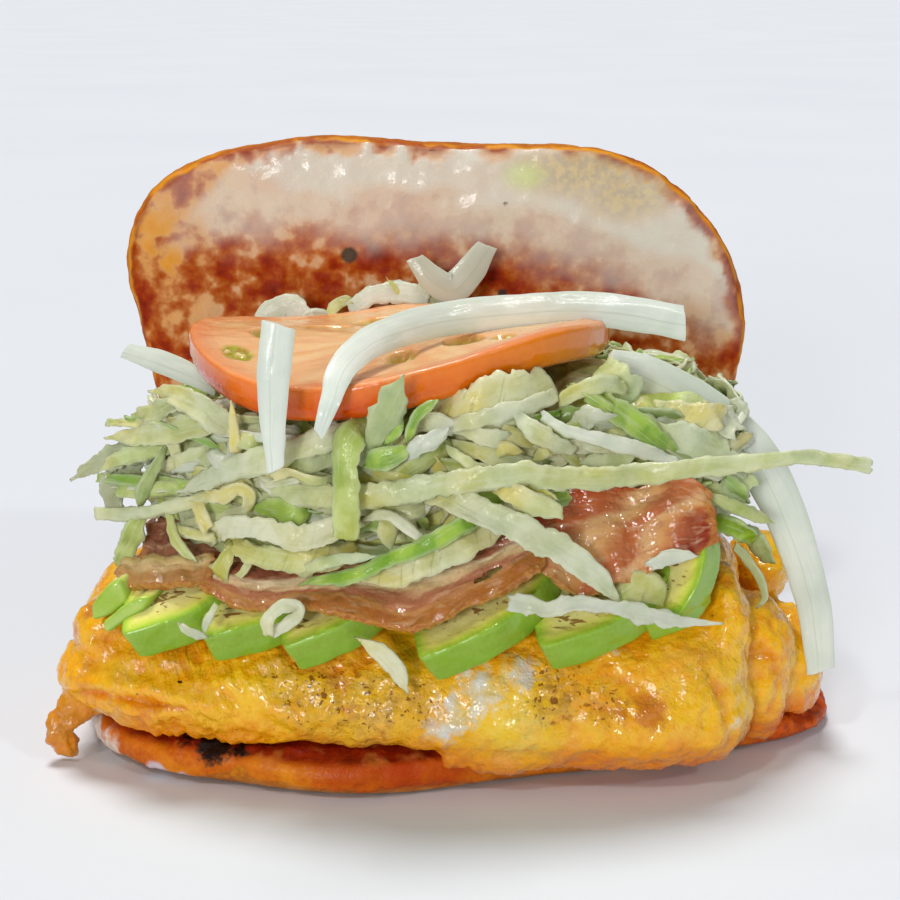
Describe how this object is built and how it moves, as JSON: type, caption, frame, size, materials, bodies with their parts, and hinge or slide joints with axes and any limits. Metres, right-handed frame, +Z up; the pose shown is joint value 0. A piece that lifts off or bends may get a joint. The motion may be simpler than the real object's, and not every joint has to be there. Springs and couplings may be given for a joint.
{
  "type": "breakfast sandwich",
  "caption": "Open breakfast sandwich: folded omelette, avocado, bacon, shredded lettuce, tomato and onion on a split oval roll, its top half upright behind with the toasted face forward",
  "frame": {"origin": "middle of the bottom half's flat underside", "axes": "+X along the roll, +Y away from the side that shows the filling, +Z up"},
  "size_m": [0.1672, 0.1257, 0.1218],
  "materials": {
    "bread": "toasted crust and crumb, dull",
    "egg": "fried egg, moist and glossy",
    "avocado": "moist flesh, green at the rind edge",
    "bacon": "fried, greasy sheen",
    "lettuce": "crisp leaf, thin and pale",
    "tomato": "wet cut face and shiny skin",
    "onion": "translucent white, moist"
  },
  "bodies": {
    "root": {"bottom_bun": "bread", "top_bun": "bread", "omelette": "egg", "avocado_1": "avocado", "avocado_2": "avocado", "avocado_3": "avocado", "avocado_4": "avocado", "avocado_5": "avocado", "avocado_6": "avocado", "avocado_7": "avocado", "avocado_8": "avocado", "avocado_9": "avocado", "bacon_1": "bacon", "bacon_2": "bacon", "bacon_3": "bacon", "bacon_4": "bacon", "lettuce": "lettuce", "tomato": "tomato", "onion_1": "onion", "onion_2": "onion", "onion_3": "onion", "onion_4": "onion", "onion_5": "onion"}
  },
  "joints": []
}
